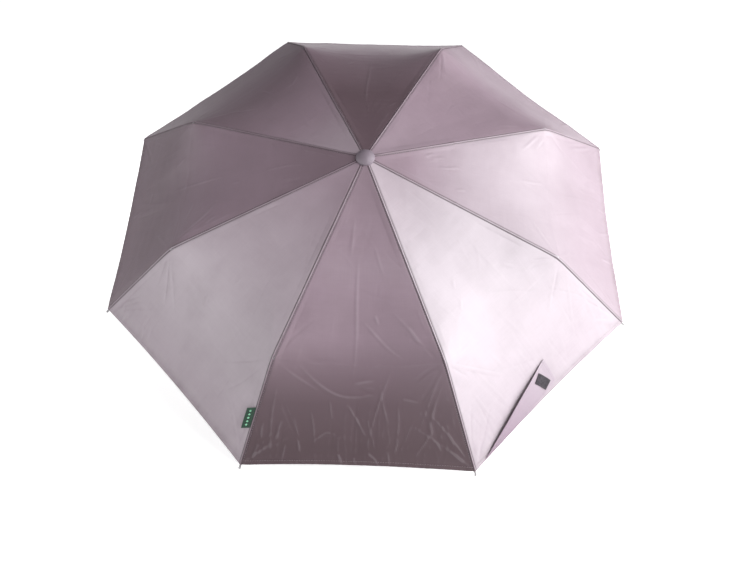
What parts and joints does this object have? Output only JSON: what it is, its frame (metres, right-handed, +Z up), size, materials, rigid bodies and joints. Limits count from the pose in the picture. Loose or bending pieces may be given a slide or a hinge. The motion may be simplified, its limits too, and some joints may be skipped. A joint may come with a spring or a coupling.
{
  "type": "folding umbrella",
  "caption": "Open three-section folding umbrella with satin cloth gores, hinged ribs, telescoping shaft, sliding runner, closing strap and straight handle.",
  "frame": {"origin": "centre of the bounding box on the floor that two rib tips and the handle's end rest on", "axes": "+Z up from the floor, +Y from the two tips on the floor towards the handle, +X to the right seen from those tips"},
  "size_m": [0.888, 0.6963, 0.571],
  "materials": {
    "canopy_cloth": "satin",
    "label_cloth": "woven",
    "cap_plastic": "satin",
    "black_plastic": "moulded",
    "button_plastic": "polished",
    "tube_steel": "plated",
    "rib_steel": "zinc plated",
    "wire_steel": "drawn",
    "tip_metal": "satin nickel",
    "handle_rubber": "soft touch"
  },
  "bodies": {
    "shaft": {"upper_tube": "tube_steel", "crown": "black_plastic", "crown_wire": "wire_steel", "top_cap": "cap_plastic", "closing_strap": "canopy_cloth", "label": "label_cloth", "canopy_panel_1": "canopy_cloth", "canopy_panel_2": "canopy_cloth", "canopy_panel_3": "canopy_cloth", "canopy_panel_4": "canopy_cloth", "canopy_panel_5": "canopy_cloth", "canopy_panel_6": "canopy_cloth", "canopy_panel_7": "canopy_cloth", "canopy_panel_8": "canopy_cloth"},
    "runner": {"runner": "black_plastic", "runner_wire": "wire_steel"},
    "button": {"runner_button": "button_plastic"},
    "middle_tube": {"middle_tube": "tube_steel"},
    "handle": {"lower_tube": "tube_steel", "handle": "handle_rubber"},
    "top_rib_1": {"top_rib_1": "rib_steel"},
    "stretcher_1": {"stretcher_1": "rib_steel"},
    "middle_rib_1": {"middle_rib_1": "rib_steel"},
    "tail_rib_1": {"tail_rib_1": "rib_steel", "tip_1": "tip_metal"},
    "top_rib_2": {"top_rib_2": "rib_steel"},
    "stretcher_2": {"stretcher_2": "rib_steel"},
    "middle_rib_2": {"middle_rib_2": "rib_steel"},
    "tail_rib_2": {"tail_rib_2": "rib_steel", "tip_2": "tip_metal"},
    "top_rib_3": {"top_rib_3": "rib_steel"},
    "stretcher_3": {"stretcher_3": "rib_steel"},
    "middle_rib_3": {"middle_rib_3": "rib_steel"},
    "tail_rib_3": {"tail_rib_3": "rib_steel", "tip_3": "tip_metal"},
    "top_rib_4": {"top_rib_4": "rib_steel"},
    "stretcher_4": {"stretcher_4": "rib_steel"},
    "middle_rib_4": {"middle_rib_4": "rib_steel"},
    "tail_rib_4": {"tail_rib_4": "rib_steel", "tip_4": "tip_metal"},
    "top_rib_5": {"top_rib_5": "rib_steel"},
    "stretcher_5": {"stretcher_5": "rib_steel"},
    "middle_rib_5": {"middle_rib_5": "rib_steel"},
    "tail_rib_5": {"tail_rib_5": "rib_steel", "tip_5": "tip_metal"},
    "top_rib_6": {"top_rib_6": "rib_steel"},
    "stretcher_6": {"stretcher_6": "rib_steel"},
    "middle_rib_6": {"middle_rib_6": "rib_steel"},
    "tail_rib_6": {"tail_rib_6": "rib_steel", "tip_6": "tip_metal"},
    "top_rib_7": {"top_rib_7": "rib_steel"},
    "stretcher_7": {"stretcher_7": "rib_steel"},
    "middle_rib_7": {"middle_rib_7": "rib_steel"},
    "tail_rib_7": {"tail_rib_7": "rib_steel", "tip_7": "tip_metal"},
    "top_rib_8": {"top_rib_8": "rib_steel"},
    "stretcher_8": {"stretcher_8": "rib_steel"},
    "middle_rib_8": {"middle_rib_8": "rib_steel"},
    "tail_rib_8": {"tail_rib_8": "rib_steel", "tip_8": "tip_metal"}
  },
  "joints": [
    {"name": "runner_slide", "type": "slide", "parent": "shaft", "child": "runner", "axis": [0, -0.6223, 0.7828], "range_m": [-0.12338, 0], "deforming": ["canopy_panel_1", "canopy_panel_2", "canopy_panel_3", "canopy_panel_4", "canopy_panel_5", "canopy_panel_6", "canopy_panel_7", "canopy_panel_8", "closing_strap", "label"]},
    {"name": "runner_button_press", "type": "slide", "parent": "runner", "child": "button", "axis": [0, 0.7828, 0.6223], "range_m": [0, 0.001], "stiffness_N_per_m": 500},
    {"name": "middle_tube_slide", "type": "slide", "parent": "shaft", "child": "middle_tube", "axis": [0, -0.6223, 0.7828], "range_m": [0, 0.1446]},
    {"name": "lower_tube_slide", "type": "slide", "parent": "middle_tube", "child": "handle", "axis": [0, -0.6223, 0.7828], "range_m": [0, 0.134]},
    {"name": "top_rib_1_hinge", "type": "hinge", "parent": "shaft", "child": "top_rib_1", "pos_m": [-0.00383, -0.13313, 0.42968], "axis": [0.9239, -0.2996, -0.2381], "range_deg": [0, 74.35]},
    {"name": "stretcher_1_hinge", "type": "hinge", "parent": "top_rib_1", "child": "stretcher_1", "pos_m": [-0.03364, -0.17814, 0.37065], "axis": [0.9239, -0.2996, -0.2381], "range_deg": [-148.2, 0]},
    {"name": "middle_rib_1_hinge", "type": "hinge", "parent": "top_rib_1", "child": "middle_rib_1", "pos_m": [-0.0601, -0.21809, 0.31825], "axis": [0.9239, -0.2996, -0.2381], "range_deg": [-174.5, 0]},
    {"name": "tail_rib_1_hinge", "type": "hinge", "parent": "middle_rib_1", "child": "tail_rib_1", "pos_m": [-0.12717, -0.31937, 0.18543], "axis": [0.9239, -0.2996, -0.2381], "range_deg": [0, 146.65]},
    {"name": "top_rib_2_hinge", "type": "hinge", "parent": "shaft", "child": "top_rib_2", "pos_m": [0.00383, -0.13313, 0.42968], "axis": [0.9239, 0.2996, 0.2381], "range_deg": [0, 74.35]},
    {"name": "stretcher_2_hinge", "type": "hinge", "parent": "top_rib_2", "child": "stretcher_2", "pos_m": [0.03364, -0.17814, 0.37065], "axis": [0.9239, 0.2996, 0.2381], "range_deg": [-148.2, 0]},
    {"name": "middle_rib_2_hinge", "type": "hinge", "parent": "top_rib_2", "child": "middle_rib_2", "pos_m": [0.0601, -0.21809, 0.31825], "axis": [0.9239, 0.2996, 0.2381], "range_deg": [-174.5, 0]},
    {"name": "tail_rib_2_hinge", "type": "hinge", "parent": "middle_rib_2", "child": "tail_rib_2", "pos_m": [0.12717, -0.31937, 0.18543], "axis": [0.9239, 0.2996, 0.2381], "range_deg": [0, 146.65]},
    {"name": "top_rib_3_hinge", "type": "hinge", "parent": "shaft", "child": "top_rib_3", "pos_m": [0.00924, -0.12889, 0.43305], "axis": [0.3827, 0.7232, 0.5749], "range_deg": [0, 74.35]},
    {"name": "stretcher_3_hinge", "type": "hinge", "parent": "top_rib_3", "child": "stretcher_3", "pos_m": [0.08121, -0.14091, 0.40025], "axis": [0.3827, 0.7232, 0.5749], "range_deg": [-148.2, 0]},
    {"name": "middle_rib_3_hinge", "type": "hinge", "parent": "top_rib_3", "child": "middle_rib_3", "pos_m": [0.14509, -0.15156, 0.37114], "axis": [0.3827, 0.7232, 0.5749], "range_deg": [-174.5, 0]},
    {"name": "tail_rib_3_hinge", "type": "hinge", "parent": "middle_rib_3", "child": "tail_rib_3", "pos_m": [0.30702, -0.17859, 0.29735], "axis": [0.3827, 0.7232, 0.5749], "range_deg": [0, 146.65]},
    {"name": "top_rib_4_hinge", "type": "hinge", "parent": "shaft", "child": "top_rib_4", "pos_m": [0.00924, -0.1229, 0.43781], "axis": [-0.3827, 0.7232, 0.5749], "range_deg": [0, 74.35]},
    {"name": "stretcher_4_hinge", "type": "hinge", "parent": "top_rib_4", "child": "stretcher_4", "pos_m": [0.08121, -0.08824, 0.44212], "axis": [-0.3827, 0.7232, 0.5749], "range_deg": [-148.2, 0]},
    {"name": "middle_rib_4_hinge", "type": "hinge", "parent": "top_rib_4", "child": "middle_rib_4", "pos_m": [0.14509, -0.05748, 0.44594], "axis": [-0.3827, 0.7232, 0.5749], "range_deg": [-174.5, 0]},
    {"name": "tail_rib_4_hinge", "type": "hinge", "parent": "middle_rib_4", "child": "tail_rib_4", "pos_m": [0.30702, 0.02051, 0.45562], "axis": [-0.3827, 0.7232, 0.5749], "range_deg": [0, 146.65]},
    {"name": "top_rib_5_hinge", "type": "hinge", "parent": "shaft", "child": "top_rib_5", "pos_m": [0.00383, -0.11867, 0.44118], "axis": [-0.9239, 0.2996, 0.2381], "range_deg": [0, 74.35]},
    {"name": "stretcher_5_hinge", "type": "hinge", "parent": "top_rib_5", "child": "stretcher_5", "pos_m": [0.03364, -0.051, 0.47172], "axis": [-0.9239, 0.2996, 0.2381], "range_deg": [-148.2, 0]},
    {"name": "middle_rib_5_hinge", "type": "hinge", "parent": "top_rib_5", "child": "middle_rib_5", "pos_m": [0.0601, 0.00905, 0.49883], "axis": [-0.9239, 0.2996, 0.2381], "range_deg": [-174.5, 0]},
    {"name": "tail_rib_5_hinge", "type": "hinge", "parent": "middle_rib_5", "child": "tail_rib_5", "pos_m": [0.12717, 0.1613, 0.56754], "axis": [-0.9239, 0.2996, 0.2381], "range_deg": [0, 146.65]},
    {"name": "top_rib_6_hinge", "type": "hinge", "parent": "shaft", "child": "top_rib_6", "pos_m": [-0.00383, -0.11867, 0.44118], "axis": [-0.9239, -0.2996, -0.2381], "range_deg": [0, 74.35]},
    {"name": "stretcher_6_hinge", "type": "hinge", "parent": "top_rib_6", "child": "stretcher_6", "pos_m": [-0.03364, -0.051, 0.47172], "axis": [-0.9239, -0.2996, -0.2381], "range_deg": [-148.2, 0]},
    {"name": "middle_rib_6_hinge", "type": "hinge", "parent": "top_rib_6", "child": "middle_rib_6", "pos_m": [-0.0601, 0.00905, 0.49883], "axis": [-0.9239, -0.2996, -0.2381], "range_deg": [-174.5, 0]},
    {"name": "tail_rib_6_hinge", "type": "hinge", "parent": "middle_rib_6", "child": "tail_rib_6", "pos_m": [-0.12717, 0.1613, 0.56754], "axis": [-0.9239, -0.2996, -0.2381], "range_deg": [0, 146.65]},
    {"name": "top_rib_7_hinge", "type": "hinge", "parent": "shaft", "child": "top_rib_7", "pos_m": [-0.00924, -0.1229, 0.43781], "axis": [-0.3827, -0.7232, -0.5749], "range_deg": [0, 74.35]},
    {"name": "stretcher_7_hinge", "type": "hinge", "parent": "top_rib_7", "child": "stretcher_7", "pos_m": [-0.08121, -0.08824, 0.44212], "axis": [-0.3827, -0.7232, -0.5749], "range_deg": [-148.2, 0]},
    {"name": "middle_rib_7_hinge", "type": "hinge", "parent": "top_rib_7", "child": "middle_rib_7", "pos_m": [-0.14509, -0.05748, 0.44594], "axis": [-0.3827, -0.7232, -0.5749], "range_deg": [-174.5, 0]},
    {"name": "tail_rib_7_hinge", "type": "hinge", "parent": "middle_rib_7", "child": "tail_rib_7", "pos_m": [-0.30702, 0.02051, 0.45562], "axis": [-0.3827, -0.7232, -0.5749], "range_deg": [0, 146.65]},
    {"name": "top_rib_8_hinge", "type": "hinge", "parent": "shaft", "child": "top_rib_8", "pos_m": [-0.00924, -0.12889, 0.43305], "axis": [0.3827, -0.7232, -0.5749], "range_deg": [0, 74.35]},
    {"name": "stretcher_8_hinge", "type": "hinge", "parent": "top_rib_8", "child": "stretcher_8", "pos_m": [-0.08121, -0.14091, 0.40025], "axis": [0.3827, -0.7232, -0.5749], "range_deg": [-148.2, 0]},
    {"name": "middle_rib_8_hinge", "type": "hinge", "parent": "top_rib_8", "child": "middle_rib_8", "pos_m": [-0.14509, -0.15156, 0.37114], "axis": [0.3827, -0.7232, -0.5749], "range_deg": [-174.5, 0]},
    {"name": "tail_rib_8_hinge", "type": "hinge", "parent": "middle_rib_8", "child": "tail_rib_8", "pos_m": [-0.30702, -0.17859, 0.29735], "axis": [0.3827, -0.7232, -0.5749], "range_deg": [0, 146.65]}
  ],
  "couplings": [
    {"joint": "top_rib_1_hinge", "follows": "runner_slide", "rad_per_m": -10.447},
    {"joint": "stretcher_1_hinge", "follows": "runner_slide", "rad_per_m": 20.894},
    {"joint": "middle_rib_1_hinge", "follows": "runner_slide", "rad_per_m": 24.614},
    {"joint": "tail_rib_1_hinge", "follows": "runner_slide", "rad_per_m": -20.674},
    {"joint": "top_rib_2_hinge", "follows": "runner_slide", "rad_per_m": -10.447},
    {"joint": "stretcher_2_hinge", "follows": "runner_slide", "rad_per_m": 20.894},
    {"joint": "middle_rib_2_hinge", "follows": "runner_slide", "rad_per_m": 24.614},
    {"joint": "tail_rib_2_hinge", "follows": "runner_slide", "rad_per_m": -20.674},
    {"joint": "top_rib_3_hinge", "follows": "runner_slide", "rad_per_m": -10.447},
    {"joint": "stretcher_3_hinge", "follows": "runner_slide", "rad_per_m": 20.894},
    {"joint": "middle_rib_3_hinge", "follows": "runner_slide", "rad_per_m": 24.614},
    {"joint": "tail_rib_3_hinge", "follows": "runner_slide", "rad_per_m": -20.674},
    {"joint": "top_rib_4_hinge", "follows": "runner_slide", "rad_per_m": -10.447},
    {"joint": "stretcher_4_hinge", "follows": "runner_slide", "rad_per_m": 20.894},
    {"joint": "middle_rib_4_hinge", "follows": "runner_slide", "rad_per_m": 24.614},
    {"joint": "tail_rib_4_hinge", "follows": "runner_slide", "rad_per_m": -20.674},
    {"joint": "top_rib_5_hinge", "follows": "runner_slide", "rad_per_m": -10.447},
    {"joint": "stretcher_5_hinge", "follows": "runner_slide", "rad_per_m": 20.894},
    {"joint": "middle_rib_5_hinge", "follows": "runner_slide", "rad_per_m": 24.614},
    {"joint": "tail_rib_5_hinge", "follows": "runner_slide", "rad_per_m": -20.674},
    {"joint": "top_rib_6_hinge", "follows": "runner_slide", "rad_per_m": -10.447},
    {"joint": "stretcher_6_hinge", "follows": "runner_slide", "rad_per_m": 20.894},
    {"joint": "middle_rib_6_hinge", "follows": "runner_slide", "rad_per_m": 24.614},
    {"joint": "tail_rib_6_hinge", "follows": "runner_slide", "rad_per_m": -20.674},
    {"joint": "top_rib_7_hinge", "follows": "runner_slide", "rad_per_m": -10.447},
    {"joint": "stretcher_7_hinge", "follows": "runner_slide", "rad_per_m": 20.894},
    {"joint": "middle_rib_7_hinge", "follows": "runner_slide", "rad_per_m": 24.614},
    {"joint": "tail_rib_7_hinge", "follows": "runner_slide", "rad_per_m": -20.674},
    {"joint": "top_rib_8_hinge", "follows": "runner_slide", "rad_per_m": -10.447},
    {"joint": "stretcher_8_hinge", "follows": "runner_slide", "rad_per_m": 20.894},
    {"joint": "middle_rib_8_hinge", "follows": "runner_slide", "rad_per_m": 24.614},
    {"joint": "tail_rib_8_hinge", "follows": "runner_slide", "rad_per_m": -20.674}
  ]
}
